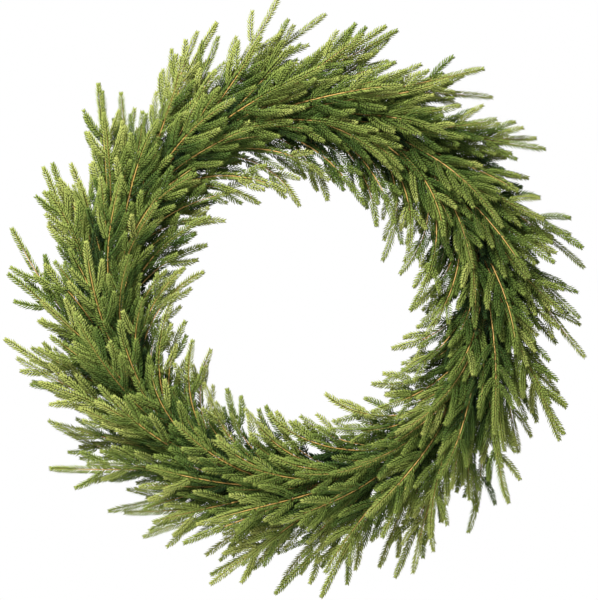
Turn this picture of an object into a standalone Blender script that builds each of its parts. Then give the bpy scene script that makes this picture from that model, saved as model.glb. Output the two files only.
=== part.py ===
"""An evergreen wreath: bunches of needled sprays, bound with wire round a steel hoop.

Metres, +Z up, the front faces -Y. The origin is where a nail or hook bears on the hoop,
on its underside at the top. The sprays all run clockwise, as seen from the front.
"""

import math
import random

import bmesh
import bpy
import numpy as np
from mathutils import Matrix, Vector

MM = 0.001

# The hoop
HOOP_RADIUS = 228 * MM
HOOP_WIRE_RADIUS = 2.6 * MM
HOOP_DROP = HOOP_RADIUS - HOOP_WIRE_RADIUS
HOOP_FACETS = 48
HOOP_WIRE_SIDES = 6

# The bunches are bound at stations round the hoop. The binding wire takes one turn for
# each, and is behind the hoop where a station's stems leave it.
STATIONS = 18
STATION_TURN = 2 * math.pi / STATIONS
STATION_PITCH = HOOP_RADIUS * STATION_TURN
BINDING_RADIUS = 0.7 * MM
BINDING_COIL_RADIUS = 8.8 * MM
BINDING_POINTS_PER_TURN = 7
BINDING_AT_BACK = 19 * MM

# The bunches of one station. Places round the hoop's own section are in degrees: 0 points
# away from the wreath's centre, 90 to the front and 180 into the hole.
# Name, the butt's place, its distance from the wire's centre line, and for each spray its
# place and how many degrees further round the wreath it sweeps.
BUNCHES = (
    ("outer", 14, 5.4 * MM, ((14, 0), (-13, 7), (41, -7))),
    ("front", 90, 5.1 * MM, ((72, 5), (108, -3))),
    ("inner", 166, 5.4 * MM, ((146, 5), (174, -4))),
)
BUTT_START = -44 * MM
BUTT_END = 8 * MM
BUTT_STEPS = 2
BUTT_RADIUS = 2.1 * MM

# How a stem grows. Its heading is in degrees from the clockwise way round the wreath, and
# three numbers are a middle, a slope and a bend on the cosine of the spray's place.
STEM_STEPS = 24
ROOT_OUTWARD = (-3, 22)
ROOT_FORWARD = 30
TIP_OUTWARD = (13, 50, -9)
TIP_FORWARD = 9
STEM_LENGTH = (174 * MM, 22 * MM, 8 * MM)
STEM_RADIUS = 1.9 * MM
STEM_TIP_RADIUS = 1.3 * MM
SUNK_RADIUS = 0.8 * MM
FULL_AT_STEP = 3

# What differs from one spray to the next
SWEEP_STRETCH = 0.016
SWAY_OUTWARD = 8
SWAY_FORWARD = 6
SWAY_LENGTH = 0.11
SWAY_BEND = 10
BEND_WAVES = 0.75
LEAN_AWAY = 0.45
ROLL = 25
STEM_CLEARANCE = 9 * MM
TRIES = 24
SEED = 11

# The side twigs of a spray leave these steps of its stem, to alternate sides
TWIGS_AT = (9, 11, 13, 15, 17, 19)
TWIG_LENGTHS = (46 * MM, 50 * MM, 48 * MM, 43 * MM, 37 * MM, 30 * MM)
TWIG_SIZE = (0.92, 0.12)
TWIG_STEPS = 6
TWIG_SPREAD = (46, 22)
TWIG_LIFT = 14
TWIG_RADIUS = 1.7 * MM
TWIG_TIP_RADIUS = 1.2 * MM
TWIG_CLEARANCE = 5 * MM
TWIGS_PER_SPRAY = 2
TWIG_CHOICE = (1, 4, 3, 2, 0, 5)

# The needles stand in whorls of three, at these shares of a stem's or a twig's length
STEM_WHORLS = (0.5, 0.9)
TWIG_WHORL = 0.68
NEEDLE_LENGTH = 7.5 * MM
NEEDLE_TILT = math.radians(47)
NEEDLE_FOOT = 2.2 * MM
NEEDLE_CLEARANCE = 3.6 * MM

CORE_SPACING = 2.5 * MM
GREEN_STEEL = ((0.03, 0.07, 0.03, 1), 0.4, 0.6)
FOLIAGE = ((0.10, 0.22, 0.04, 1), 0.6, 0.0)


def in_world(radius, turn, forward):
    """A point this far from the wreath's axis, clockwise from its top, and to its front."""
    return np.array((radius * math.sin(turn), -forward, radius * math.cos(turn) - HOOP_DROP))


def on_section(turn, place, distance):
    """A point beside the hoop, at this place and distance from its wire's centre line."""
    angle = math.radians(place)
    radius = HOOP_RADIUS + distance * math.cos(angle)
    return in_world(radius, turn, distance * math.sin(angle))


def by_place(terms, cosine):
    return sum(term * cosine**power for power, term in enumerate(terms))


def unit(vectors):
    return vectors / np.linalg.norm(vectors, axis=-1, keepdims=True)


def lengths_along(line):
    steps = np.linalg.norm(np.diff(line, axis=0), axis=1)
    return np.concatenate(([0], np.cumsum(steps)))


class Spray:
    """One spray: its stem's centre line, and the way its flat side faces along it."""

    def __init__(self, station, bunch, place, sweep, draw):
        self.bunch = (station, bunch)
        self.turn = station * STATION_TURN
        self.butt_place, self.butt_distance = BUNCHES[bunch][1:3]
        self.place = math.radians(place)
        self.outward = draw.uniform(-SWAY_OUTWARD, SWAY_OUTWARD)
        self.outward -= sweep if math.cos(self.place) > 0 else -sweep
        self.forward = draw.uniform(-SWAY_FORWARD, SWAY_FORWARD)
        self.stretch = 1 + draw.uniform(-SWAY_LENGTH, SWAY_LENGTH) + sweep * SWEEP_STRETCH
        self.bend = draw.uniform(-SWAY_BEND, SWAY_BEND)
        self.phase = draw.uniform(0, 2)
        self.roll = math.radians(draw.uniform(-ROLL, ROLL))
        self.line = self.grow()
        self.tangents = unit(np.gradient(self.line, axis=0))
        self.faces = self.facing()
        self.twigs = []

    def grow(self):
        """Steps along the stem, out from the wreath's axis, round it and to its front."""
        cosine, sine = math.cos(self.place), math.sin(self.place)
        step = by_place(STEM_LENGTH, cosine) * self.stretch / STEM_STEPS
        angle = math.radians(self.butt_place)
        radius = HOOP_RADIUS + self.butt_distance * math.cos(angle)
        forward = self.butt_distance * math.sin(angle)
        turn = self.turn + BUTT_END / HOOP_RADIUS
        points = [in_world(radius, turn, forward)]
        for k in range(STEM_STEPS):
            share = (k + 0.5) / STEM_STEPS
            wave = math.sin(math.pi * (2 * BEND_WAVES * share + self.phase))
            tip_outward = by_place(TIP_OUTWARD, cosine) + self.outward
            tip_outward += self.bend * share * wave
            out = (1 - share) * by_place(ROOT_OUTWARD, cosine) + share * tip_outward
            ahead = (1 - share) * ROOT_FORWARD * sine
            ahead += share * (TIP_FORWARD * sine + self.forward)
            out, ahead = math.radians(out), math.radians(ahead)
            radius += step * math.sin(out) * math.cos(ahead)
            turn += step * math.cos(out) * math.cos(ahead) / radius
            forward += step * math.sin(ahead)
            points.append(in_world(radius, turn, forward))
        return np.array(points)

    def facing(self):
        """The flat side faces the front, leans away from the hoop, and is rolled a little."""
        away = unit(self.line * (1, 0, 1) + (0, 0, HOOP_DROP))
        face = away * LEAN_AWAY * math.cos(self.place) + (0, -1, 0)
        face = unit(face - self.tangents * (face * self.tangents).sum(axis=1)[:, None])
        side = np.cross(self.tangents, face)
        return face * math.cos(self.roll) + side * math.sin(self.roll)

    def butt(self):
        """The bound end of the bunch that this spray leads, which lies along the hoop."""
        along = np.linspace(BUTT_START, BUTT_END, BUTT_STEPS + 1)[:-1]
        turns = self.turn + along / HOOP_RADIUS
        return [on_section(turn, self.butt_place, self.butt_distance) for turn in turns]

    def towards_hoop(self):
        return on_section(self.turn, self.butt_place, -1) - on_section(self.turn, 0, 0)

    def twig(self, number):
        """The centre line of a side twig, which bends towards the way its stem runs."""
        at = TWIGS_AT[number]
        tangent, face = self.tangents[at], self.faces[at]
        side = np.cross(tangent, face) * (1 if number % 2 else -1)
        lift = math.radians(TWIG_LIFT)
        aside = side * math.cos(lift) + face * math.sin(lift)
        size = by_place(TWIG_SIZE, math.cos(self.place))
        step = TWIG_LENGTHS[number] * size / TWIG_STEPS
        first, last = TWIG_SPREAD
        points = [self.line[at]]
        for k in range(TWIG_STEPS):
            spread = math.radians(first + (last - first) * (k + 0.5) / TWIG_STEPS)
            way = tangent * math.cos(spread) + aside * math.sin(spread)
            points.append(points[-1] + way * step)
        return np.array(points)


class Room:
    """The space that is taken, as points along every stem, twig and needle, by owner."""

    def __init__(self):
        self.points = {}

    def take(self, owner, points):
        self.points.setdefault(owner, []).append(points)

    def gap(self, points, but_not):
        """How far the points are from the nearest thing, apart from what these owners hold."""
        others = [p for owner, rows in self.points.items() if owner not in but_not for p in rows]
        if not others:
            return math.inf
        gaps = points[:, None, :] - np.concatenate(others)[None, :, :]
        return math.sqrt((gaps * gaps).sum(axis=2).min())

    def needle_fits(self, owner, points):
        """Takes the space of one of this owner's needles, if nothing else is near it."""
        needles = f"{owner} needles"
        fits = self.gap(points, (owner, needles)) > NEEDLE_CLEARANCE
        if fits:
            self.take(needles, points)
        return fits


def dense(line):
    """The line as points close enough together to measure distances to it."""
    made = []
    for a, b in zip(line[:-1], line[1:]):
        count = max(1, math.ceil(np.linalg.norm(b - a) / CORE_SPACING))
        made += [a + (b - a) * k / count for k in range(count)]
    return np.array([*made, line[-1]])


def plan_sprays(room):
    """Every spray, drawn again until its stem is clear of the other bunches' stems."""
    draw = random.Random(SEED)
    sprays = []
    for station in range(STATIONS):
        for bunch, (_, _, _, members) in enumerate(BUNCHES):
            for place, sweep in members:
                friends = [s.name for s in sprays if s.bunch == (station, bunch)]
                best = None
                for _ in range(TRIES):
                    spray = Spray(station, bunch, place, sweep, draw)
                    spray.gap = room.gap(dense(spray.line[FULL_AT_STEP:]), friends)
                    if best is None or spray.gap > best.gap:
                        best = spray
                    if best.gap > STEM_CLEARANCE:
                        break
                best.name = f"stem {len(sprays)}"
                room.take(best.name, dense(best.line))
                sprays.append(best)
    return sprays


def plan_twigs(sprays, room):
    """Gives each spray its side twigs, where they are clear of all but their own stem."""
    for number in TWIG_CHOICE:
        for spray in sprays:
            if len(spray.twigs) == TWIGS_PER_SPRAY:
                continue
            core = dense(spray.twig(number))
            if room.gap(core, (spray.name,)) > TWIG_CLEARANCE:
                spray.twigs.append(number)
                room.take(f"{spray.name} twig {number}", core)


class Rod:
    """A three-sided stem or twig. Its widths are radii at distances along its line, and its
    rings and whorls are distances too."""

    def __init__(self, owner, line, face, widths, rings, whorls):
        self.owner = owner
        self.line = line
        self.lengths = lengths_along(line)
        self.face = Vector(face)
        self.widths = widths
        self.rings = rings
        self.whorls = whorls

    def point(self, distance):
        return Vector([np.interp(distance, self.lengths, self.line[:, n]) for n in range(3)])

    def frame(self, distance, twist):
        """The matrix that brings a unit triangle to its place, square to the line."""
        behind = self.point(max(distance - STEM_RADIUS, 0))
        ahead = self.point(min(distance + STEM_RADIUS, self.lengths[-1]))
        tangent = (ahead - behind).normalized()
        self.face = (self.face - tangent * self.face.dot(tangent)).normalized()
        side = self.face.cross(tangent)
        axes = Matrix((side, self.face, tangent)).transposed()
        turned = axes @ Matrix.Rotation(twist, 3, "Z")
        radius = np.interp(distance, *zip(*self.widths))
        return Matrix.Translation(self.point(distance)) @ (turned * radius).to_4x4()

    def frames(self):
        """Every ring's matrix, and what the stretch from it to the next ring is. Each
        whorl's corners lie between those of the whorl before, so a twist comes after it."""
        stops = [(distance, "plain") for distance in (0, *self.rings)]
        stops += [(distance - NEEDLE_FOOT / 2, "whorl") for distance in self.whorls]
        made, twist = [], 0.0
        for distance, stretch in sorted(stops):
            made.append((self.frame(distance, twist), stretch))
            if stretch == "whorl":
                made.append((self.frame(distance + NEEDLE_FOOT, twist), "twist"))
                twist += math.pi / 3
        return made

    def mesh(self, room):
        """Extrudes a triangle from ring to ring, raises the needles and points the end."""
        frames = self.frames()
        bm = bmesh.new()
        bmesh.ops.create_circle(bm, cap_ends=True, segments=3, radius=1)
        bmesh.ops.transform(bm, matrix=frames[0][0], verts=bm.verts)
        end = bm.faces[:][0]
        for (here, stretch), (there, _) in zip(frames[:-1], frames[1:]):
            before = set(bm.faces)
            region = [end, *end.edges, *end.verts]
            made = bmesh.ops.extrude_face_region(bm, geom=region)["geom"]
            moved = [v for v in made if isinstance(v, bmesh.types.BMVert)]
            bmesh.ops.transform(bm, matrix=there @ here.inverted(), verts=moved)
            end = next(f for f in made if isinstance(f, bmesh.types.BMFace))
            sides = [f for f in bm.faces if f not in before and f != end]
            if stretch == "whorl":
                self.raise_needles(bm, sides, here.translation, there.translation, room)
            elif stretch == "twist":
                # Long diagonals would meet on the rod's own axis and pinch it to nothing.
                bmesh.ops.triangulate(bm, faces=sides, quad_method="SHORT_EDGE")
        bmesh.ops.poke(bm, faces=[end])["verts"][0].co = self.line[-1]
        bmesh.ops.recalc_face_normals(bm, faces=bm.faces)
        if bm.calc_volume(signed=True) < 0:
            bmesh.ops.reverse_faces(bm, faces=bm.faces)
        return bm

    def raise_needles(self, bm, sides, here, there, room):
        """Pokes each side face and draws its centre out, where the needle has room."""
        along = (there - here).normalized()
        for side in sides:
            foot = side.calc_center_median()
            out = foot - here
            out = (out - along * out.dot(along)).normalized()
            way = along * math.cos(NEEDLE_TILT) + out * math.sin(NEEDLE_TILT)
            points = np.array([foot + way * NEEDLE_LENGTH * share for share in (0.5, 1)])
            if room.needle_fits(self.owner, points):
                bmesh.ops.poke(bm, faces=[side])["verts"][0].co = points[-1]


def stem_rod(spray, leads):
    """A spray's stem. The one that leads its bunch runs on into the butt along the hoop, and
    the others start thin, sunk in the butt's end."""
    line = np.concatenate((spray.butt(), spray.line)) if leads else spray.line
    lengths = lengths_along(line)
    at = lengths[-STEM_STEPS - 1 :]
    full = at[0] if leads else at[FULL_AT_STEP]
    widths = (
        (0, BUTT_RADIUS if leads else SUNK_RADIUS),
        (full, BUTT_RADIUS if leads else STEM_RADIUS),
        (at[-1], STEM_TIP_RADIUS),
    )
    rings = [*lengths[1:BUTT_STEPS], full] if leads else [full]
    rings += [at[TWIGS_AT[number]] for number in spray.twigs]
    whorls = [at[0] + share * (at[-1] - at[0]) for share in STEM_WHORLS]
    return Rod(spray.name, line, spray.towards_hoop(), widths, rings, whorls)


def twig_rod(spray, number):
    """A side twig, which starts thin inside its stem."""
    line = spray.twig(number)
    length = lengths_along(line)[-1]
    whorl = TWIG_WHORL * length
    widths = ((0, SUNK_RADIUS), (whorl, TWIG_RADIUS), (length, TWIG_TIP_RADIUS))
    face = spray.faces[TWIGS_AT[number]]
    return Rod(f"{spray.name} twig {number}", line, face, widths, [], [whorl])


def material(name, look):
    colour, roughness, metallic = look
    made = bpy.data.materials.new(name)
    made.use_nodes = True
    shader = made.node_tree.nodes["Principled BSDF"]
    shader.inputs["Base Color"].default_value = colour
    shader.inputs["Roughness"].default_value = roughness
    shader.inputs["Metallic"].default_value = metallic
    return made


def object_of(bm, name, collection):
    mesh = bpy.data.meshes.new(name)
    bm.to_mesh(mesh)
    bm.free()
    made = bpy.data.objects.new(name, mesh)
    collection.objects.link(made)
    return made


def fused(base, others, name):
    """The base rod and the rods sunk into it, as one mesh.

    EXACT leaves slivers and loose scraps where three rods meet, so the solver is MANIFOLD.
    """
    union = base.modifiers.new("union", "BOOLEAN")
    union.operation = "UNION"
    union.operand_type = "COLLECTION"
    union.collection = others
    union.solver = "MANIFOLD"
    graph = bpy.context.evaluated_depsgraph_get()
    mesh = bpy.data.meshes.new_from_object(base.evaluated_get(graph))
    for rod in [base, *others.objects]:
        bpy.data.objects.remove(rod)
    return bpy.data.objects.new(name, mesh)


def make_bunch(name, sprays, room, target, foliage):
    """Sprays that share one butt, with their twigs and needles, fused in one body."""
    scene = bpy.context.scene.collection
    rods = bpy.data.collections.new("rods")
    scene.children.link(rods)
    leader, *others = sprays
    base = object_of(stem_rod(leader, leads=True).mesh(room), "base", scene)
    for spray in others:
        object_of(stem_rod(spray, leads=False).mesh(room), "stem", rods)
    for spray in sprays:
        for number in spray.twigs:
            object_of(twig_rod(spray, number).mesh(room), "twig", rods)
    bunch = fused(base, rods, name)
    bpy.data.collections.remove(rods)
    target.objects.link(bunch)
    bunch.data.materials.clear()
    bunch.data.materials.append(foliage)


def make_hoop(target, steel):
    bpy.ops.mesh.primitive_torus_add(
        major_segments=HOOP_FACETS,
        minor_segments=HOOP_WIRE_SIDES,
        major_radius=HOOP_RADIUS,
        minor_radius=HOOP_WIRE_RADIUS,
        location=(0, 0, -HOOP_DROP),
        rotation=(math.pi / 2, 0, 0),
    )
    hoop = bpy.context.active_object
    hoop.name = "hoop"
    hoop.data.materials.append(steel)
    hoop.data.shade_smooth()
    for collection in hoop.users_collection:
        collection.objects.unlink(hoop)
    target.objects.link(hoop)


def make_binding(target, steel):
    """One thin wire wound round the hoop and the butts, with its ends joined."""
    curve = bpy.data.curves.new("binding_wire", "CURVE")
    curve.dimensions = "3D"
    curve.bevel_depth = BINDING_RADIUS
    curve.bevel_resolution = 0
    curve.materials.append(steel)
    count = STATIONS * BINDING_POINTS_PER_TURN
    spline = curve.splines.new("POLY")
    spline.points.add(count - 1)
    spline.use_cyclic_u = True
    for n, point in enumerate(spline.points):
        along = n * STATION_PITCH / BINDING_POINTS_PER_TURN
        place = 360 * (along - BINDING_AT_BACK) / STATION_PITCH - 90
        point.co = (*on_section(along / HOOP_RADIUS, place, BINDING_COIL_RADIUS), 1)
    target.objects.link(bpy.data.objects.new("binding_wire", curve))


def main():
    for old in list(bpy.data.objects):
        bpy.data.objects.remove(old)
    wreath = bpy.data.collections.new("wreath")
    bpy.context.scene.collection.children.link(wreath)
    steel = material("green_steel", GREEN_STEEL)
    foliage = material("foliage", FOLIAGE)
    make_hoop(wreath, steel)
    make_binding(wreath, steel)
    room = Room()
    sprays = plan_sprays(room)
    plan_twigs(sprays, room)
    print(len(sprays), "sprays, tightest stem gap", min(s.gap for s in sprays))
    for station in range(STATIONS):
        for bunch, (family, _, _, _) in enumerate(BUNCHES):
            members = [s for s in sprays if s.bunch == (station, bunch)]
            name = f"bunch_{family}_{station + 1:02d}"
            make_bunch(name, members, room, wreath, foliage)


main()
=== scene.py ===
# %% [markdown]
# # An evergreen wreath
# The packed model holds the wreath's hoop, its binding wire and 54 bunches of sprays, each
# with the few twigs and needles that a solid can carry. This script keeps every bunch where
# it is and gives it back all its twigs, its bark and its needles, then finishes the steel.
# It starts by loading the model, which everything below is fitted to.

import math
import random
from functools import partial

import bmesh
import bpy
import numpy as np
from mathutils import Matrix, Vector
from mathutils.kdtree import KDTree


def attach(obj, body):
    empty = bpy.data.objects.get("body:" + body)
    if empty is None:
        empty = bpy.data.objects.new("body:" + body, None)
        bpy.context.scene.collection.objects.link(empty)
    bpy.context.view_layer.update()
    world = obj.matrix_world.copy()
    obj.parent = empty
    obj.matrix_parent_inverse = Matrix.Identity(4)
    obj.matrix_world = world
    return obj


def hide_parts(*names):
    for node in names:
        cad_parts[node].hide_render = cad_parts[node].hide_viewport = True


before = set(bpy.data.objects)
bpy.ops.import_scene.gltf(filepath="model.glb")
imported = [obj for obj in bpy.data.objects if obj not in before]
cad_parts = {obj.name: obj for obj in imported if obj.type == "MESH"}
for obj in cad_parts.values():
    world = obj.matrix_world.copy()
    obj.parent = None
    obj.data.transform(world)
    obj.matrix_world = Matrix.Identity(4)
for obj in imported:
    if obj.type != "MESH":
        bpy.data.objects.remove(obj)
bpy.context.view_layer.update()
MM = 0.001

# %% [markdown]
# ## Where the sprays grow
# The model's source plans each spray as a line that leaves its bunch's butt, sweeps
# clockwise round the hoop and fans out or in. A finished twig has to lie on its solid one, so
# the same rule is repeated here, with the same measures and the same order of random draws.

# %% The measures of the hoop and the bunches
HOOP_RADIUS = 228 * MM
HOOP_WIRE_RADIUS = 2.6 * MM
HOOP_DROP = HOOP_RADIUS - HOOP_WIRE_RADIUS
STATIONS = 18
STATION_TURN = 2 * math.pi / STATIONS
BUNCHES = (
    ("outer", 14, 5.4 * MM, ((14, 0), (-13, 7), (41, -7))),
    ("front", 90, 5.1 * MM, ((72, 5), (108, -3))),
    ("inner", 166, 5.4 * MM, ((146, 5), (174, -4))),
)
BUTT_START = -44 * MM
BUTT_END = 8 * MM
BUTT_STEPS = 2
BUTT_RADIUS = 2.1 * MM
print(STATIONS, "stations,", STATIONS * sum(len(b[3]) for b in BUNCHES), "sprays")

# %% The measures of a spray
STEM_STEPS = 24
ROOT_OUTWARD = (-3, 22)
ROOT_FORWARD = 30
TIP_OUTWARD = (13, 50, -9)
TIP_FORWARD = 9
STEM_LENGTH = (174 * MM, 22 * MM, 8 * MM)
FULL_AT_STEP = 3
SWEEP_STRETCH = 0.016
SWAY_OUTWARD = 8
SWAY_FORWARD = 6
SWAY_LENGTH = 0.11
SWAY_BEND = 10
BEND_WAVES = 0.75
LEAN_AWAY = 0.45
ROLL = 25
STEM_CLEARANCE = 9 * MM
TRIES = 24
SEED = 11
TWIGS_AT = (9, 11, 13, 15, 17, 19)
TWIG_LENGTHS = (46 * MM, 50 * MM, 48 * MM, 43 * MM, 37 * MM, 30 * MM)
TWIG_SIZE = (0.92, 0.12)
TWIG_STEPS = 6
TWIG_SPREAD = (46, 22)
TWIG_LIFT = 14
TWIG_CLEARANCE = 5 * MM
TWIGS_PER_SPRAY = 2
TWIG_CHOICE = (1, 4, 3, 2, 0, 5)
MOST_TWIGS = (9, 10, 4)
CORE_SPACING = 2.5 * MM
print("a stem at the front is", round(STEM_LENGTH[0] / MM), "mm long")


# %% Helpers for lines in space
def in_world(radius, turn, forward):
    """A point this far from the wreath's axis, clockwise from its top, and to its front."""
    return np.array((radius * math.sin(turn), -forward, radius * math.cos(turn) - HOOP_DROP))


def on_section(turn, place, distance):
    """A point beside the hoop, at this place and distance from its wire's centre line."""
    angle = math.radians(place)
    radius = HOOP_RADIUS + distance * math.cos(angle)
    return in_world(radius, turn, distance * math.sin(angle))


def by_place(terms, cosine):
    return sum(term * cosine**power for power, term in enumerate(terms))


def unit(vectors):
    return vectors / np.linalg.norm(vectors, axis=-1, keepdims=True)


def lengths_along(line):
    steps = np.linalg.norm(np.diff(line, axis=0), axis=1)
    return np.concatenate(([0], np.cumsum(steps)))


def dense(line):
    """The line as points close enough together to measure distances to it."""
    made = []
    for a, b in zip(line[:-1], line[1:]):
        count = max(1, math.ceil(np.linalg.norm(b - a) / CORE_SPACING))
        made += [a + (b - a) * k / count for k in range(count)]
    return np.array([*made, line[-1]])


print("the hoop's top is at", on_section(0, 0, 0).round(4))


# %% One spray
class Spray:
    """One spray: its stem's centre line, and the way its flat side faces along it."""

    def __init__(self, station, bunch, place, sweep, draw, scale=1):
        self.bunch = (int(station), bunch)
        self.turn = station * STATION_TURN
        self.butt_place, self.butt_distance = BUNCHES[bunch][1:3]
        self.place = math.radians(place)
        self.outward = draw.uniform(-SWAY_OUTWARD, SWAY_OUTWARD)
        self.outward -= sweep if math.cos(self.place) > 0 else -sweep
        self.forward = draw.uniform(-SWAY_FORWARD, SWAY_FORWARD)
        self.stretch = 1 + draw.uniform(-SWAY_LENGTH, SWAY_LENGTH) + sweep * SWEEP_STRETCH
        self.stretch *= scale
        self.bend = draw.uniform(-SWAY_BEND, SWAY_BEND)
        self.phase = draw.uniform(0, 2)
        self.roll = math.radians(draw.uniform(-ROLL, ROLL))
        self.line = self.grow()
        self.tangents = unit(np.gradient(self.line, axis=0))
        self.faces = self.facing()
        self.twigs = []

    def grow(self):
        """Steps along the stem, out from the wreath's axis, round it and to its front."""
        cosine, sine = math.cos(self.place), math.sin(self.place)
        step = by_place(STEM_LENGTH, cosine) * self.stretch / STEM_STEPS
        angle = math.radians(self.butt_place)
        radius = HOOP_RADIUS + self.butt_distance * math.cos(angle)
        forward = self.butt_distance * math.sin(angle)
        turn = self.turn + BUTT_END / HOOP_RADIUS
        points = [in_world(radius, turn, forward)]
        for k in range(STEM_STEPS):
            share = (k + 0.5) / STEM_STEPS
            wave = math.sin(math.pi * (2 * BEND_WAVES * share + self.phase))
            tip_outward = by_place(TIP_OUTWARD, cosine) + self.outward
            tip_outward += self.bend * share * wave
            out = (1 - share) * by_place(ROOT_OUTWARD, cosine) + share * tip_outward
            ahead = (1 - share) * ROOT_FORWARD * sine
            ahead += share * (TIP_FORWARD * sine + self.forward)
            out, ahead = math.radians(out), math.radians(ahead)
            radius += step * math.sin(out) * math.cos(ahead)
            turn += step * math.cos(out) * math.cos(ahead) / radius
            forward += step * math.sin(ahead)
            points.append(in_world(radius, turn, forward))
        return np.array(points)

    def facing(self):
        """The flat side faces the front, leans away from the hoop, and is rolled a little."""
        away = unit(self.line * (1, 0, 1) + (0, 0, HOOP_DROP))
        face = away * LEAN_AWAY * math.cos(self.place) + (0, -1, 0)
        face = unit(face - self.tangents * (face * self.tangents).sum(axis=1)[:, None])
        side = np.cross(self.tangents, face)
        return face * math.cos(self.roll) + side * math.sin(self.roll)

    def butt(self):
        """The bound end of the bunch that this spray leads, which lies along the hoop."""
        along = np.linspace(BUTT_START, BUTT_END, BUTT_STEPS + 1)[:-1]
        turns = self.turn + along / HOOP_RADIUS
        return [on_section(turn, self.butt_place, self.butt_distance) for turn in turns]

    def twig(self, at, length, hand, lift=TWIG_LIFT, spread=TWIG_SPREAD):
        """The centre line of a side twig, which bends towards the way its stem runs."""
        tangent, face = self.tangents[at], self.faces[at]
        side = np.cross(tangent, face) * hand
        lift = math.radians(lift)
        aside = side * math.cos(lift) + face * math.sin(lift)
        step = length * by_place(TWIG_SIZE, math.cos(self.place)) / TWIG_STEPS
        first, last = spread
        points = [self.line[at]]
        for k in range(TWIG_STEPS):
            spread = math.radians(first + (last - first) * (k + 0.5) / TWIG_STEPS)
            way = tangent * math.cos(spread) + aside * math.sin(spread)
            points.append(points[-1] + way * step)
        return np.array(points)

    def modelled_twig(self, number):
        """Where it leaves the stem, to which hand, and its line."""
        at, hand = TWIGS_AT[number], 1 if number % 2 else -1
        return at, hand, self.twig(at, TWIG_LENGTHS[number], hand)


one = Spray(0, 1, 90, 0, random.Random(SEED))
print("one front spray is", round(lengths_along(one.line)[-1] / MM), "mm long")


# %% The space that the sprays take
class Room:
    """The space that is taken, as points along every stem and twig, by owner."""

    def __init__(self):
        self.points = {}

    def take(self, owner, points):
        self.points.setdefault(owner, []).append(points)

    def gap(self, points, but_not):
        """How far the points are from the nearest thing, apart from what these owners hold."""
        others = [p for owner, rows in self.points.items() if owner not in but_not for p in rows]
        if not others:
            return math.inf
        gaps = points[:, None, :] - np.concatenate(others)[None, :, :]
        return math.sqrt((gaps * gaps).sum(axis=2).min())


def clearest(grow, room, friends, tries, clearance):
    """Grows a spray again until its stem is clear of the others, and gives the clearest."""
    best = None
    for _ in range(tries):
        spray = grow()
        spray.gap = room.gap(dense(spray.line[FULL_AT_STEP:]), friends)
        if best is None or spray.gap > best.gap:
            best = spray
        if best.gap > clearance:
            break
    return best


def keep(spray, sprays, room, leads, most_twigs, coarseness=1):
    """Gives a spray its name and its place among the others."""
    spray.name = f"stem {len(sprays)}"
    spray.leads, spray.most_twigs, spray.coarseness = leads, most_twigs, coarseness
    room.take(spray.name, dense(spray.line))
    sprays.append(spray)


print("in an empty room the gap is", Room().gap(one.line, ()))


# %% Every spray, and the twigs that its solid has
def plan_sprays(room):
    """Every spray of the solids, which keeps clear of the other bunches' stems."""
    draw = random.Random(SEED)
    sprays = []
    for station in range(STATIONS):
        for bunch, (_, _, _, members) in enumerate(BUNCHES):
            for place, sweep in members:
                friends = [s.name for s in sprays if s.bunch == (station, bunch)]
                grow = partial(Spray, station, bunch, place, sweep, draw)
                best = clearest(grow, room, friends, TRIES, STEM_CLEARANCE)
                keep(best, sprays, room, not friends, MOST_TWIGS[bunch])
    return sprays


def plan_modelled_twigs(sprays, room):
    for number in TWIG_CHOICE:
        for spray in sprays:
            if len(spray.twigs) == TWIGS_PER_SPRAY:
                continue
            twig = spray.modelled_twig(number)
            core = dense(twig[2])
            if room.gap(core, (spray.name,)) > TWIG_CLEARANCE:
                spray.twigs.append(twig)
                room.take(f"{spray.name} twig {number}", core)


room = Room()
sprays = plan_sprays(room)
plan_modelled_twigs(sprays, room)
print(len(sprays), "sprays with", sum(len(s.twigs) for s in sprays), "modelled twigs")

# %% [markdown]
# ## Shorter sprays between the modelled ones
# Each bunch has more sprays than its solid could hold. The others are shorter and leave the
# hoop half a station further on, under the long tips, so that the body of the wreath closes.
# Four coarse ones a station run behind the hoop. Only their shade is seen from the front: it
# keeps daylight out of the gaps, which are nearly black on a full wreath.

# %% Add the short sprays
SHORT_SCALES = ((0.62, 0.88), (0.62, 0.88), (0.52, 0.74))
SHORT_CLEARANCE = 7 * MM
SHORT_TRIES = 6
PLACE_SWAY = 12
SHORT_PLACES = [(b, p, 0.5) for b, row in enumerate(BUNCHES) for p, _ in row[3]]
SHORT_TWIGS = (8, 10, 4)
BACK_PLACES = [(b, p, after) for after in (0.25, 0.75) for b, p in ((0, -60), (2, 240))]
BACK_SCALES = ((0.5, 0.66),) * 3
BACK_TWIGS = (6, 6, 6)
BACK_COARSENESS = 1.5


def add_sprays(sprays, places, scales, most_twigs, coarseness=1):
    """Adds one spray a station at each of these places, clear of the stems that are there."""
    draw = random.Random(SEED + len(sprays))
    room = Room()
    for spray in sprays:
        room.take(spray.name, dense(spray.line))

    def grow(at, bunch, place):
        sway, scale = draw.uniform(-PLACE_SWAY, PLACE_SWAY), draw.uniform(*scales[bunch])
        return Spray(at, bunch, place + sway, 0, draw, scale)

    for station in range(STATIONS):
        led = set()
        for bunch, place, after in places:
            grown = partial(grow, station + after, bunch, place)
            best = clearest(grown, room, (), SHORT_TRIES, SHORT_CLEARANCE)
            leads = (bunch, after) not in led
            keep(best, sprays, room, leads, most_twigs[bunch], coarseness)
            led.add((bunch, after))


add_sprays(sprays, SHORT_PLACES, SHORT_SCALES, SHORT_TWIGS)
add_sprays(sprays, BACK_PLACES, BACK_SCALES, BACK_TWIGS, BACK_COARSENESS)
furthest_back = max(s.line[:, 1].max() for s in sprays)
print(len(sprays), "sprays in all, the furthest back", round(furthest_back / MM), "mm")

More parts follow.
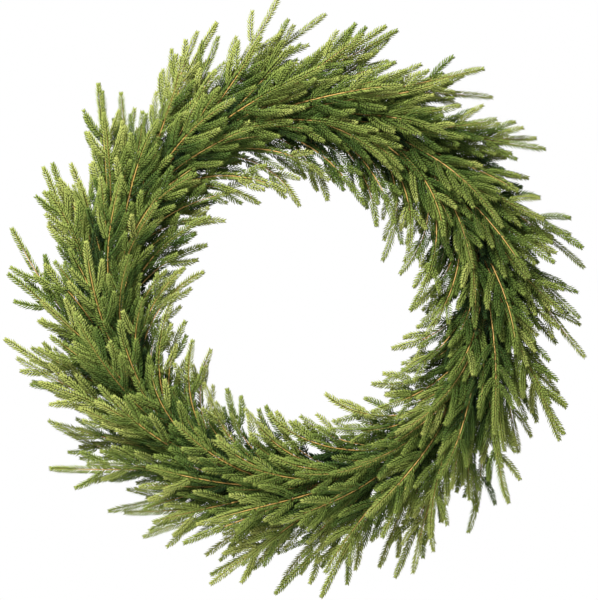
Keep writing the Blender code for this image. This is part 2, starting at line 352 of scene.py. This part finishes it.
# %% [markdown]
# ## The rest of the twigs
# A real spray has a twig every 20 mm or so, to the left and right in turn. The solids could
# only take two, so here each spray gets the rest, shorter at both ends, wherever a twig
# wouldn't run along inside another. Their needles may mesh, as they do on any full branch.
# They hang a little behind their stem, so that it lies on top and shows between them.

# %% Add the missing twigs
TWIG_SLOTS = (4, 7, 10, 13, 16)
TWIG_SLOT_LENGTHS = (38, 44, 49, 48, 41)
SLOT_SPACING = 2
DEPTHS = (-82 * MM, 36 * MM)
EXTRA_LIFT = (-38, 8)
EXTRA_SPREAD = (40, 14)
EXTRA_SIZES = (0.85, 1.1)
SPREAD_SWAY = 6
SPARE_GAP = 3.2 * MM
CROWDED_SHARE = 0.15


def crowded(tree, owners, core, own):
    """True if more than a small share of the twig, past its root, runs close to another line."""
    outer = core[len(core) // 3 :]
    hits = 0
    for point in outer:
        found = tree.find_range(point, SPARE_GAP)
        hits += any(owners[index] != own for _, index, _ in found)
    return hits > CROWDED_SHARE * len(outer)


def line_tree(sprays):
    """A search tree of the points along every stem and twig, and which spray has each."""
    rows = []
    for n, spray in enumerate(sprays):
        rows += [(n, dense(line)) for line in (spray.line, *(twig[2] for twig in spray.twigs))]
    tree = KDTree(sum(len(points) for _, points in rows))
    owners = []
    for n, points in rows:
        for point in points:
            tree.insert(point, len(owners))
            owners.append(n)
    tree.balance()
    return tree, owners


def add_twigs(sprays):
    """Tries a twig in every slot, to the right hand and one step on to the left."""
    draw = random.Random(SEED + 1)
    rows, hands = list(zip(TWIG_SLOTS, TWIG_SLOT_LENGTHS)), ((0, 1), (1, -1))
    slots = [(at + offset, length, hand) for offset, hand in hands for at, length in rows]
    for at, length, hand in draw.sample(slots, len(slots)):
        tree, owners = line_tree(sprays)
        for n, spray in enumerate(sprays):
            size = length * MM * draw.uniform(*EXTRA_SIZES)
            lift = draw.uniform(*EXTRA_LIFT)
            turn = draw.uniform(-SPREAD_SWAY, SPREAD_SWAY)
            spread = [degrees + turn for degrees in EXTRA_SPREAD]
            line = spray.twig(at, size, hand, lift, spread)
            taken = len(spray.twigs) == spray.most_twigs
            same_side = [t[0] for t in spray.twigs if t[1] == hand]
            taken = taken or any(abs(other - at) < SLOT_SPACING for other in same_side)
            taken = taken or line[:, 1].min() < DEPTHS[0] or line[:, 1].max() > DEPTHS[1]
            if not taken and not crowded(tree, owners, dense(line), n):
                spray.twigs.append((at, hand, line))


add_twigs(sprays)
twig_length = sum(lengths_along(line)[-1] for s in sprays for _, _, line in s.twigs)
print(sum(len(s.twigs) for s in sprays), "twigs,", round(twig_length, 1), "m of them")

# %% [markdown]
# ## Bark and needles as patterns to copy
# A wreath holds nearly 190 thousand needles, so each shape is modelled once and copied, and
# it has as few faces as it can. The needle is a three-sided cone, whose base is drawn out into
# a pointed foot and two broad shoulders: four triangles, the fewest that close a shape. The
# rod is a ring of bark extruded step by step and closed by a bud. Both carry a map that their
# finishes read: one way runs along the shape, and the other holds its tone.

# %% Model the needle and the rods once
UV_NAME = "OFBake"
NEEDLE_WIDEST = 0.5
NEEDLE_DEPTH = 1.0
STEM_SIDES, TWIG_SIDES = 4, 3
BUD = 0.25
MERGED_WITHIN = 1e-5
ON_AXIS = 1e-6


class Pattern:
    """A small mesh as arrays, ready to be copied: points, corners of faces, and its map."""

    def __init__(self, bm, along, around):
        bmesh.ops.triangulate(bm, faces=bm.faces)
        bmesh.ops.recalc_face_normals(bm, faces=bm.faces)
        if bm.calc_volume(signed=True) < 0:
            bmesh.ops.reverse_faces(bm, faces=bm.faces)
        bm.verts.index_update()
        self.points = np.array([v.co for v in bm.verts])
        self.faces = np.array([[v.index for v in f.verts] for f in bm.faces])
        self.map = np.array([[(along(v.co), around(v.co, f)) for v in f.verts] for f in bm.faces])
        bm.free()


def around_axis(co, face):
    """The share of a turn about Z, carried past the seam where the face crosses it."""
    middle = face.calc_center_median()
    centre = math.atan2(middle.y, middle.x) / math.tau % 1
    if co.xy.length < ON_AXIS:
        return centre
    share = math.atan2(co.y, co.x) / math.tau % 1
    return share + round(centre - share)


def needle_pattern():
    """A pyramid drawn out: one corner of its base is the foot, and two are the shoulders."""
    bm = bmesh.new()
    bmesh.ops.create_cone(bm, cap_ends=True, segments=3, radius1=1, radius2=0, depth=1)
    bmesh.ops.remove_doubles(bm, verts=bm.verts, dist=MERGED_WITHIN)
    bmesh.ops.rotate(bm, verts=bm.verts, matrix=Matrix.Rotation(math.pi, 3, "Z"))
    *base, tip = sorted(bm.verts, key=lambda v: v.co.z)
    tip.co = (0, 0, 1)
    for corner in base:
        if corner.co.y > 0:
            corner.co = (math.copysign(1, corner.co.x), NEEDLE_DEPTH, NEEDLE_WIDEST)
        else:
            corner.co = (0, 0, 0)
    return Pattern(bm, lambda co: co.z, lambda co, face: co.x)


def rod_pattern(sides, steps):
    """A straight rod one unit thick, whose rings are a unit apart, closed by a bud."""
    bm = bmesh.new()
    bmesh.ops.create_circle(bm, cap_ends=True, segments=sides, radius=1)
    end = bm.faces[:][0]
    for _ in range(steps):
        made = bmesh.ops.extrude_face_region(bm, geom=[end, *end.edges, *end.verts])["geom"]
        ring = [v for v in made if isinstance(v, bmesh.types.BMVert)]
        bmesh.ops.translate(bm, verts=ring, vec=(0, 0, 1))
        end = next(f for f in made if isinstance(f, bmesh.types.BMFace))
    bmesh.ops.poke(bm, faces=[end])["verts"][0].co = (0, 0, steps + BUD)
    return Pattern(bm, lambda co: co.z / (steps + BUD), around_axis)


needle = needle_pattern()
stem_rod = rod_pattern(STEM_SIDES, STEM_STEPS // 2)
leader_rod = rod_pattern(STEM_SIDES, (STEM_STEPS + BUTT_STEPS) // 2)
twig_rod = rod_pattern(TWIG_SIDES, TWIG_STEPS // 2)
print("faces: needle", len(needle.faces), "stem", len(stem_rod.faces), "twig", len(twig_rod.faces))

# %% [markdown]
# ## Bending the bark along its line
# Each ring of a straight rod is moved to a point of the stem's line and turned square to it.
# The bark rows of the map lie above the needles' rows, so that both finishes fit on one map.

# %% A line that can be read at any distance
class Line:
    """A stem's or a twig's line, with its length, directions and flat side."""

    def __init__(self, points, face):
        self.points = np.asarray(points)
        self.lengths = lengths_along(self.points)
        self.length = self.lengths[-1]
        self.tangents = unit(np.gradient(self.points, axis=0))
        faces = np.broadcast_to(face, self.points.shape)
        across = (faces * self.tangents).sum(axis=1)[:, None]
        self.faces = unit(faces - self.tangents * across)

    def read(self, rows, distances):
        return np.stack([np.interp(distances, self.lengths, rows[:, n]) for n in range(3)], axis=1)

    def at(self, distances):
        """Places, directions and flat sides at these distances."""
        tangents = unit(self.read(self.tangents, distances))
        faces = self.read(self.faces, distances)
        faces = unit(faces - tangents * (faces * tangents).sum(axis=1)[:, None])
        return self.read(self.points, distances), tangents, faces


sample_line = Line(sprays[0].line, sprays[0].faces)
print("the first stem is", round(sample_line.length / MM), "mm long")

# %% Helpers that bend a rod and gather a piece
NEEDLE_ROWS = (0.02, 0.70)
BARK_ROWS = (0.74, 0.98)
STEMS_FROM, TWIGS_AFTER, COLUMNS = 0.01, 0.5, 0.48
BARK_TURN = (0.15, 0.7)
BUD_RADII = 4


class Mass:
    """The copies that make one piece."""

    def __init__(self):
        self.rows = []
        self.count = 0

    def add(self, points, faces, uv, material):
        self.rows.append((points, faces + self.count, uv, np.full(len(faces), material)))
        self.count += len(points)

    def mesh(self, name, finishes):
        points, faces, uv, material = (np.concatenate(rows) for rows in zip(*self.rows))
        mesh = bpy.data.meshes.new(name)
        mesh.from_pydata(points, [], faces)
        for finish in finishes:
            mesh.materials.append(finish)
        mesh.uv_layers.new(name=UV_NAME).uv.foreach_set("vector", uv.reshape(-1).astype(np.float32))
        mesh.polygons.foreach_set("material_index", material.astype(np.int32))
        mesh.polygons.foreach_set("use_smooth", np.ones(len(faces), bool))
        mesh.update()
        return mesh


def add_rod(mass, pattern, line, radii, is_twig):
    """Bends a rod along a line whose points are its rings."""
    ring = np.minimum(pattern.points[:, 2].astype(int), len(line.points) - 1)
    side = np.cross(line.faces, line.tangents)
    x, y = pattern.points[:, 0, None], pattern.points[:, 1, None]
    radius = radii[ring, None]
    beyond = (pattern.points[:, 2] - ring)[:, None] * line.tangents[ring] * BUD_RADII * radius
    points = line.points[ring] + (side[ring] * x + line.faces[ring] * y) * radius + beyond
    low, high = BARK_ROWS
    first, turn = BARK_TURN
    uv = pattern.map.copy()
    uv[:, :, 0] = STEMS_FROM + COLUMNS * np.clip(uv[:, :, 0], 0, 1) + TWIGS_AFTER * is_twig
    uv[:, :, 1] = low + (high - low) * np.clip(first + turn * uv[:, :, 1], 0, 1)
    mass.add(points, pattern.faces, uv, 1)


print("needles' rows of the map", NEEDLE_ROWS, "and the bark's", BARK_ROWS)

# %% [markdown]
# ## Setting the needles
# The needles stand in rows along a twig. Four rows start together, at its sides and between
# them, which gives the herringbone look of a flat spray, and the front row runs half a step
# behind. Twigs that end beyond the rims show from all round, so they have a back row too. The
# needles lean forward, more so near the end, where the last ones close over the bud. Along
# part of each stem most of the front ones point to both sides, which lets the tan bark show.
# On the coarse sprays behind the hoop the needles are broader and further apart.

# %% The measures of the needles
NEEDLE_LENGTH = 8.6 * MM
NEEDLE_HALF_WIDTH = 0.82 * MM
NEEDLE_PITCH = 3.45 * MM
ROWS = ((2, 0), (178, 0), (44, 0.08), (136, 0.08), (90, 0.5))
BACK_ROW = (270, 0.5)
FRINGE_DEPTH = 88 * MM
TIP_TURNS = (0, 60, 120, 180, 270)
LEAN, LEAN_AT_END = 38, 22
LEAN_CURVE = 0.7
TAPER_OVER = 11 * MM
LENGTH_AT_END = 0.72
FOOT_OUT = 0.45
PLACE_JITTER = 0.2
TURN_JITTER = 8
LEAN_JITTER = 4
NEEDLE_LENGTHS = (0.9, 1.08)
NEEDLE_WIDTHS = (0.85, 1.15)
PARTED_FROM = (0.1, 0.35)
PARTED_LENGTH = (0.3, 0.6)
PARTED_SHARE = 0.85
PARTED_WITHIN = 60
PARTED_TURNS = (-10, 190)
print(len(ROWS), "rows of needles, a needle every", round(NEEDLE_PITCH / MM, 2), "mm in each")

# %% [markdown]
# ## Painted shade and light on the needles
# Needles in the core are painted dark, which is painted shade. On the body of the wreath they are
# painted lighter, and past its rims a little lighter still, which is painted rim light. Each spray,
# twig and needle also has a tone of its own, which is added to that of its place.

# %% Helpers that paint shade and rim light into a needle's tone from its place
# The painted shade deepens towards the hoop, and the painted rim light brightens the needles past
# the rims.
CORE_DEPTH, BODY_DEPTH = 12 * MM, 76 * MM
BODY_MIDDLE = 0.62
PAINTED_CORE_SHADE = 0.74
RIM_STARTS, RIM_ENDS = 40 * MM, 105 * MM
PAINTED_RIM_LIGHT = 0.02
TONE_AT_TIP = 0.12
NEEDLE_TONE_SWAY = 0.06


def beside_hoop(points):
    return np.hypot(points[:, 0], points[:, 2] + HOOP_DROP) - HOOP_RADIUS


def from_hoop(points):
    return np.hypot(beside_hoop(points), points[:, 1])


def past_rim(points):
    """0 on the body of the wreath, 1 at the ends of the longest sprays."""
    return np.clip((abs(beside_hoop(points)) - RIM_STARTS) / (RIM_ENDS - RIM_STARTS), 0, 1)


def painted_shade_and_rim_light(points):
    """Painted shade makes needles darkest in the core and lighter on the body; painted rim light
    makes them lightest past its rims.
    """
    body = np.clip((from_hoop(points) - CORE_DEPTH) / (BODY_DEPTH - CORE_DEPTH), 0, 1)
    return PAINTED_CORE_SHADE * (body - BODY_MIDDLE) + PAINTED_RIM_LIGHT * past_rim(points)


print("tone added along the first stem", painted_shade_and_rim_light(sample_line.points[::8]).round(2))

# %% [markdown]
# ## From rows to needles
# Every place in a row is moved a little, so that the rows don't look ruled. Each needle then
# gets its own axes, size and tone, and all the needles of a twig are copied in one go.

# %% Helpers that set needles
MAP_MARGIN = 0.02
ROW_HEIGHT = 0.005


def set_needles(line, radius, first, parted, tone, draw, coarseness=1):
    """Places, axes, sizes and tones of the needles from this distance to the line's end."""
    pitch = NEEDLE_PITCH * math.sqrt(coarseness)
    steps = np.arange((line.length - first) // pitch + 1)[:, None]
    in_fringe = from_hoop(line.points)[-1] > FRINGE_DEPTH
    turns, offsets = np.array((*ROWS, BACK_ROW) if in_fringe else ROWS).T
    at = (first + (steps + offsets) * pitch).reshape(-1)
    angle = np.tile(turns, len(steps))[at < line.length]
    at = np.concatenate((at[at < line.length], np.full(len(TIP_TURNS), line.length)))
    angle = np.concatenate((angle, TIP_TURNS))
    count = len(at)
    at = np.clip(at + draw.uniform(-PLACE_JITTER, PLACE_JITTER, count) * MM, 0, line.length)
    angle = angle + draw.uniform(-TURN_JITTER, TURN_JITTER, count)
    share = at / line.length
    if parted:
        front = (share > parted[0]) & (share < parted[1]) & (abs(angle - 90) < PARTED_WITHIN)
        front &= draw.random(count) < PARTED_SHARE
        angle = np.where(front, np.where(angle < 90, *PARTED_TURNS), angle)
    angle = np.radians(angle)
    left = np.clip((line.length - at) / TAPER_OVER, 0, 1)
    lean = LEAN_AT_END + (LEAN - LEAN_AT_END) * left**LEAN_CURVE
    lean = np.radians(lean + draw.uniform(-LEAN_JITTER, LEAN_JITTER, count))
    places, tangents, faces = line.at(at)
    side = np.cross(faces, tangents)
    out = side * np.cos(angle)[:, None] + faces * np.sin(angle)[:, None]
    way = tangents * np.cos(lean)[:, None] + out * np.sin(lean)[:, None]
    across = unit(np.cross(faces, way))
    depth = np.cross(way, across)
    length = LENGTH_AT_END + (1 - LENGTH_AT_END) * left
    length = NEEDLE_LENGTH * length * draw.uniform(*NEEDLE_LENGTHS, count)
    width = NEEDLE_HALF_WIDTH * coarseness * draw.uniform(*NEEDLE_WIDTHS, count)
    feet = places + out * (radius * FOOT_OUT)
    own = draw.uniform(-NEEDLE_TONE_SWAY, NEEDLE_TONE_SWAY, count)
    # The tone of its place is painted shade in the core and painted light past the rims.
    needle_tone = tone + TONE_AT_TIP * share**2 + own + painted_shade_and_rim_light(places)
    return feet, across, depth, way, width, length, np.clip(needle_tone, 0, 1)


def add_needles(mass, feet, across, depth, way, width, length, tone):
    """Copies the needle to each place, with its tone as its row of the map."""
    x, y, z = (needle.points[None, :, n, None] for n in range(3))
    points = feet[:, None] + across[:, None] * x * width[:, None, None]
    points = points + depth[:, None] * y * width[:, None, None]
    points = points + way[:, None] * z * length[:, None, None]
    count, size = len(feet), len(needle.points)
    faces = needle.faces[None] + (np.arange(count) * size)[:, None, None]
    low, high = NEEDLE_ROWS
    uv = np.repeat(needle.map[None], count, axis=0)
    inner = 1 - 2 * MAP_MARGIN
    row = MAP_MARGIN + inner * tone[:, None, None]
    uv[..., 0] = MAP_MARGIN + inner * uv[..., 0]
    uv[..., 1] = low + (high - low) * row + ROW_HEIGHT * uv[..., 1]
    mass.add(points.reshape(-1, 3), faces.reshape(-1, 3), uv.reshape(-1, 3, 2), 0)
    return count


sample_set = set_needles(sample_line, MM, 0, None, 0.5, np.random.default_rng(SEED))
print("the first stem takes", len(sample_set[0]), "needles")

# %% [markdown]
# ## One piece for each bunch
# The sprays of a bunch grew from one butt, so their bark and needles are one piece, which
# takes the place of the bunch's plain solid.

# %% Make the foliage pieces
STEM_SHAPE = ((0, 1.9 * MM), (0.2, 0.95 * MM), (0.6, 0.75 * MM), (1, 0.4 * MM))
STEM_RADIUS = 0.9 * MM
TWIG_RADIUS, TWIG_TIP_RADIUS = 0.55 * MM, 0.32 * MM
FIRST_NEEDLE_ON_STEM = 30 * MM
FIRST_NEEDLE_ON_TWIG = 3 * MM
SPRAY_TONE = (0.41, 0.10)
TWIG_TONE_SWAY = 0.16


def add_stem(spray, mass):
    """The bark of a stem, with every second ring of its line, and its butt if it has one."""
    points = np.concatenate((spray.butt(), spray.line)) if spray.leads else spray.line
    before = len(points) - len(spray.line)
    faces = np.concatenate((np.repeat(spray.faces[:1], before, axis=0), spray.faces))
    share = np.clip((np.arange(len(points)) - before) / STEM_STEPS, 0, 1)
    radii = np.interp(share, *zip(*STEM_SHAPE))
    radii[:before] = BUTT_RADIUS
    rod = leader_rod if spray.leads else stem_rod
    add_rod(mass, rod, Line(points[::2], faces[::2]), radii[::2], False)


def foliage(station, bunch, draw):
    """The bark and needles of one bunch."""
    mass, needles = Mass(), 0
    for spray in (s for s in sprays if s.bunch == (station, bunch)):
        add_stem(spray, mass)
        spray_tone = draw.normal(*SPRAY_TONE)
        stem = Line(spray.line, spray.faces)
        start = draw.uniform(*PARTED_FROM)
        parted = (start, start + draw.uniform(*PARTED_LENGTH))
        coarseness, first = spray.coarseness, FIRST_NEEDLE_ON_STEM
        made = set_needles(stem, STEM_RADIUS, first, parted, spray_tone, draw, coarseness)
        needles += add_needles(mass, *made)
        for at, _, points in spray.twigs:
            radii = np.linspace(TWIG_RADIUS, TWIG_TIP_RADIUS, len(points[::2]))
            add_rod(mass, twig_rod, Line(points[::2], spray.faces[at]), radii, True)
            tone = spray_tone + draw.normal(0, TWIG_TONE_SWAY)
            line, first = Line(points, spray.faces[at]), FIRST_NEEDLE_ON_TWIG
            made = set_needles(line, TWIG_RADIUS, first, None, tone, draw, coarseness)
            needles += add_needles(mass, *made)
    return mass, needles


one_bunch, one_count = foliage(0, 0, np.random.default_rng(SEED))
one_triangles = sum(len(faces) for _, faces, _, _ in one_bunch.rows)
print("the first bunch has", one_count, "needles, and", one_triangles, "triangles")

# %% [markdown]
# ## A way to write shaders as sums
# A finish is a network of nodes. Writing it as expressions keeps it readable: a wire stands
# for one socket, and adding or multiplying wires adds the Math nodes.


# %% The wire class
class Wire:
    """A socket of a material's nodes. Sums, differences and products add Math nodes."""

    def __init__(self, tree, socket=None):
        self.tree, self.socket = tree, socket

    def node(self, kind, settings, inputs, output=0):
        """Adds a node: its settings first, then the values or wires of its sockets."""
        made = self.tree.nodes.new(kind)
        for name, value in settings.items():
            if name == "stops":
                ramp = made.color_ramp.elements
                while len(ramp) < len(value):
                    ramp.new(0.5)
                for element, (place, colour) in zip(ramp, value):
                    element.position, element.color = place, (*colour, 1)
            else:
                setattr(made, name, value)
        for name, value in inputs.items():
            if isinstance(value, Wire):
                self.tree.links.new(value.socket, made.inputs[name])
            else:
                made.inputs[name].default_value = value
        return Wire(self.tree, made.outputs[output])

    def math(self, operation, first, second):
        return self.node("ShaderNodeMath", {"operation": operation}, {0: first, 1: second})

    def __add__(self, other):
        return self.math("ADD", self, other)

    def __sub__(self, other):
        return self.math("SUBTRACT", self, other)

    def __rsub__(self, other):
        return self.math("SUBTRACT", other, self)

    def __mul__(self, other):
        return self.math("MULTIPLY", self, other)

    __radd__, __rmul__ = __add__, __mul__


def new_finish(name, roughness, specular):
    """A material whose own shader takes values, and the wire to start its nodes from."""
    made = bpy.data.materials.new(name)
    made.use_nodes = True
    shader = made.node_tree.nodes["Principled BSDF"]
    shader.inputs["Roughness"].default_value = roughness
    shader.inputs["Specular IOR Level"].default_value = specular
    return made, shader, Wire(made.node_tree)


def feed(wire, shader, name):
    wire.tree.links.new(wire.socket, shader.inputs[name])


def multiplied(first, second):
    """The product of two colours, which a Math node would turn grey."""
    settings = {"data_type": "RGBA", "blend_type": "MULTIPLY"}
    return first.node("ShaderNodeMix", settings, {0: 1.0, 6: first, 7: second}, 2)


print("made the wire class:", Wire.__doc__)

# %% [markdown]
# ## The needles' finish
# Soft moulded needles are a waxy mid green. A ramp reads each needle's tone from its map, from deep
# bluish green, which also serves as painted shade in the core, to the yellow green of young shoots.
# Along the needle the foot is darkened with painted shade where it meets the twig, and is a little
# browner, and the point is a little burnt. Nothing else is needed to tell one needle from the next.

# %% Make the needles' finish
def needle_finish():
    made, shader, start = new_finish("needle_green", 0.6, 0.05)
    place = start.node("ShaderNodeUVMap", {"uv_map": UV_NAME}, {})
    along = start.node("ShaderNodeSeparateXYZ", {}, {0: place}, 0)
    row = start.node("ShaderNodeSeparateXYZ", {}, {0: place}, 1)
    tone = (row - NEEDLE_ROWS[0]) * (1 / (NEEDLE_ROWS[1] - NEEDLE_ROWS[0]))
    # The darkest stops also carry the painted shade of needles deep in the core.
    tones = (
        (0.0, (0.004, 0.012, 0.005)),
        (0.3, (0.032, 0.057, 0.011)),
        (0.6, (0.094, 0.124, 0.026)),
        (1.0, (0.185, 0.204, 0.056)),
    )
    green = start.node("ShaderNodeValToRGB", {"stops": tones}, {0: tone})
    # Painted shade darkens the foot, where the needle meets the twig; the slight brown there and
    # the burnt point are the needle's own colour.
    foot_shade_and_burnt_tip = (
        (0.0, (0.8, 0.78, 0.7)),
        (0.25, (0.98, 1.0, 0.95)),
        (0.7, (1.08, 1.06, 1.0)),
        (0.9, (1.05, 1.02, 0.98)),
        (1.0, (0.9, 0.8, 0.66)),
    )
    shade = start.node("ShaderNodeValToRGB", {"stops": foot_shade_and_burnt_tip}, {0: along})
    feed(multiplied(green, shade), shader, "Base Color")
    grain = start.node("ShaderNodeTexNoise", {}, {"Vector": place, "Scale": 40.0, "Detail": 3.0})
    feed(0.5 + 0.2 * grain, shader, "Roughness")
    return made


needle_green = needle_finish()
print("made", needle_green.name)

# %% [markdown]
# ## The bark's finish
# Young evergreen bark is orange tan with fine lengthwise streaks, and turns green towards
# the tip. Twigs are greener than stems. The map's first half holds the stems and its second
# half the twigs, so one ramp along it colours both.

# %% Make the bark's finish
def bark_finish():
    made, shader, start = new_finish("bark_tan", 0.6, 0.3)
    place = start.node("ShaderNodeUVMap", {"uv_map": UV_NAME}, {})
    along = start.node("ShaderNodeSeparateXYZ", {}, {0: place}, 0)
    stops = (
        (0.0, (0.15, 0.09, 0.03)),
        (0.12, (0.27, 0.165, 0.038)),
        (0.38, (0.30, 0.195, 0.045)),
        (0.49, (0.18, 0.19, 0.038)),
        (0.51, (0.26, 0.17, 0.042)),
        (0.60, (0.11, 0.12, 0.022)),
        (0.99, (0.07, 0.11, 0.016)),
    )
    tan = start.node("ShaderNodeValToRGB", {"stops": stops}, {0: along})
    stretched = start.node("ShaderNodeMapping", {}, {"Vector": place, "Scale": (30.0, 60.0, 1.0)})
    fine = {"Vector": stretched, "Scale": 1.0, "Detail": 4.0}
    streaks = start.node("ShaderNodeTexNoise", {}, fine)
    ends = ((0.3, (0.55, 0.5, 0.45)), (0.7, (1.2, 1.2, 1.2)))
    shade = start.node("ShaderNodeValToRGB", {"stops": ends}, {0: streaks})
    feed(multiplied(tan, shade), shader, "Base Color")
    feed(0.45 + 0.3 * streaks, shader, "Roughness")
    relief = {"Strength": 0.5, "Distance": 0.4 * MM, "Height": streaks}
    feed(start.node("ShaderNodeBump", {}, relief), shader, "Normal")
    return made


bark_tan = bark_finish()
print("made", bark_tan.name)

# %% [markdown]
# ## Placing the foliage
# Each bunch's foliage stands for its solid. One generator draws all of it, bunch by bunch, so
# the wreath comes out the same each time.


# %% Place the foliage
def place_piece(mesh, node):
    """Makes a piece of the wreath, which rides with the model and stands for its node."""
    made = bpy.data.objects.new(mesh.name, mesh)
    bpy.context.scene.collection.objects.link(made)
    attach(made, "root")
    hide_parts(node)


draw = np.random.default_rng(SEED)
needles_set = triangles = 0
for station in range(STATIONS):
    for bunch, (family, _, _, _) in enumerate(BUNCHES):
        label = f"{family}_{station + 1:02d}"
        mass, needles = foliage(station, bunch, draw)
        mesh = mass.mesh(f"foliage_{label}", (needle_green, bark_tan))
        place_piece(mesh, f"bunch_{label}")
        needles_set += needles
        triangles += len(mesh.polygons)
print(needles_set, "needles,", triangles, "triangles in", STATIONS * len(BUNCHES), "pieces")

# %% [markdown]
# ## The steel
# The hoop and its binding wire are enamelled dark green. They hardly show from the front, but
# they do from behind. Their finish reads where each point is on the object: the enamel is a
# little uneven, and worn to bare steel in a few small spots.


# %% Make the enamel and give it to the steel
BARE_STEEL = (0.35, 0.34, 0.33)
BARE_METALLIC = 0.9
DEEP_SHARE = 0.6
SPOTS_FINER = 6


def enamel_finish(name, colour, scale):
    """Uneven enamel, with fine spots where it is worn off. A higher scale is finer."""
    made, shader, start = new_finish(name, 0.45, 0.3)
    place = start.node("ShaderNodeTexCoord", {}, {}, "Object")
    cloud = start.node("ShaderNodeTexNoise", {}, {"Vector": place, "Scale": scale, "Detail": 5.0})
    greens = ((0.35, tuple(DEEP_SHARE * c for c in colour)), (0.65, colour))
    enamel = start.node("ShaderNodeValToRGB", {"stops": greens}, {0: cloud})
    fine = {"Vector": place, "Scale": SPOTS_FINER * scale, "Detail": 2.0}
    spots = start.node("ShaderNodeTexNoise", {}, fine)
    edges = ((0.66, (0, 0, 0)), (0.7, (1, 1, 1)))
    worn = start.node("ShaderNodeValToRGB", {"stops": edges}, {0: spots})
    layers = {0: worn, 6: enamel, 7: (*BARE_STEEL, 1)}
    mixed = start.node("ShaderNodeMix", {"data_type": "RGBA"}, layers, 2)
    feed(mixed, shader, "Base Color")
    feed(0.4 + 0.25 * cloud, shader, "Roughness")
    feed(worn * BARE_METALLIC, shader, "Metallic")
    relief = {"Strength": 0.3, "Distance": 0.2 * MM, "Height": cloud}
    feed(start.node("ShaderNodeBump", {}, relief), shader, "Normal")
    return made


hoop_green = enamel_finish("hoop_enamel", (0.020, 0.060, 0.022), 90.0)
wire_green = enamel_finish("wire_enamel", (0.030, 0.085, 0.030), 160.0)
steel = (("hoop", "hoop_steel", hoop_green), ("binding_wire", "binding_steel", wire_green))
for node, slot, finish in steel:
    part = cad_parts[node]
    for material_slot in part.material_slots:
        material_slot.material = finish
    print(node, "has", [material_slot.material.name for material_slot in part.material_slots])

# %% [markdown]
# ## Floor, light and camera
# The wreath hangs against plain white, square on to the camera. A white surround gives soft
# light from all sides, and one broad lamp from above and in front gives the needles shape.
# The camera is far off with a long lens, so that near and far tips show at one scale.


# %% Make the floor, the light and the camera
FRAME_WIDTH = 738 * MM
CAMERA_AWAY = 3.4
FLOOR_RADIUS, FLOOR_SIDES = 1.6, 96
FLOOR_PLACE = (0, 0.4, -1.15)
FLOOR_COLOUR = (0.86, 0.86, 0.85, 1)


def make_floor():
    bm = bmesh.new()
    bmesh.ops.create_circle(bm, cap_ends=True, segments=FLOOR_SIDES, radius=FLOOR_RADIUS)
    bmesh.ops.translate(bm, verts=bm.verts, vec=FLOOR_PLACE)
    mesh = bpy.data.meshes.new("floor")
    bm.to_mesh(mesh)
    bm.free()
    floor = bpy.data.objects.new("floor", mesh)
    bpy.context.scene.collection.objects.link(floor)
    made, shader, _ = new_finish("pale_floor", 0.8, 0.2)
    shader.inputs["Base Color"].default_value = FLOOR_COLOUR
    mesh.materials.append(made)


def make_lamp(name, place, size, watts):
    lamp = bpy.data.objects.new(name, bpy.data.lights.new(name, "AREA"))
    lamp.data.size, lamp.data.energy = size, watts
    lamp.location = place
    aim = Vector((0, 0, -HOOP_DROP)) - lamp.location
    lamp.rotation_euler = aim.to_track_quat("-Z", "Y").to_euler()
    bpy.context.scene.collection.objects.link(lamp)


def make_camera():
    camera = bpy.data.objects.new("camera", bpy.data.cameras.new("camera"))
    camera.location = (0, -CAMERA_AWAY, -HOOP_DROP)
    camera.rotation_euler = (math.pi / 2, 0, 0)
    camera.data.lens = camera.data.sensor_width * CAMERA_AWAY / FRAME_WIDTH
    bpy.context.scene.collection.objects.link(camera)
    bpy.context.scene.camera = camera


world = bpy.data.worlds.new("white")
world.use_nodes = True
background = world.node_tree.nodes["Background"]
background.inputs["Color"].default_value = (1, 1, 1, 1)
background.inputs["Strength"].default_value = 1.0
bpy.context.scene.world = world
bpy.context.scene.view_settings.view_transform = "Standard"
make_floor()
make_lamp("key", place=(-1.0, -2.2, 1.5), size=0.7, watts=330)
make_camera()
print("lens", round(bpy.context.scene.camera.data.lens), "mm")

# %% [markdown]
# ## The sizes
# Needles and added sprays reach a little past the solids that they replace.
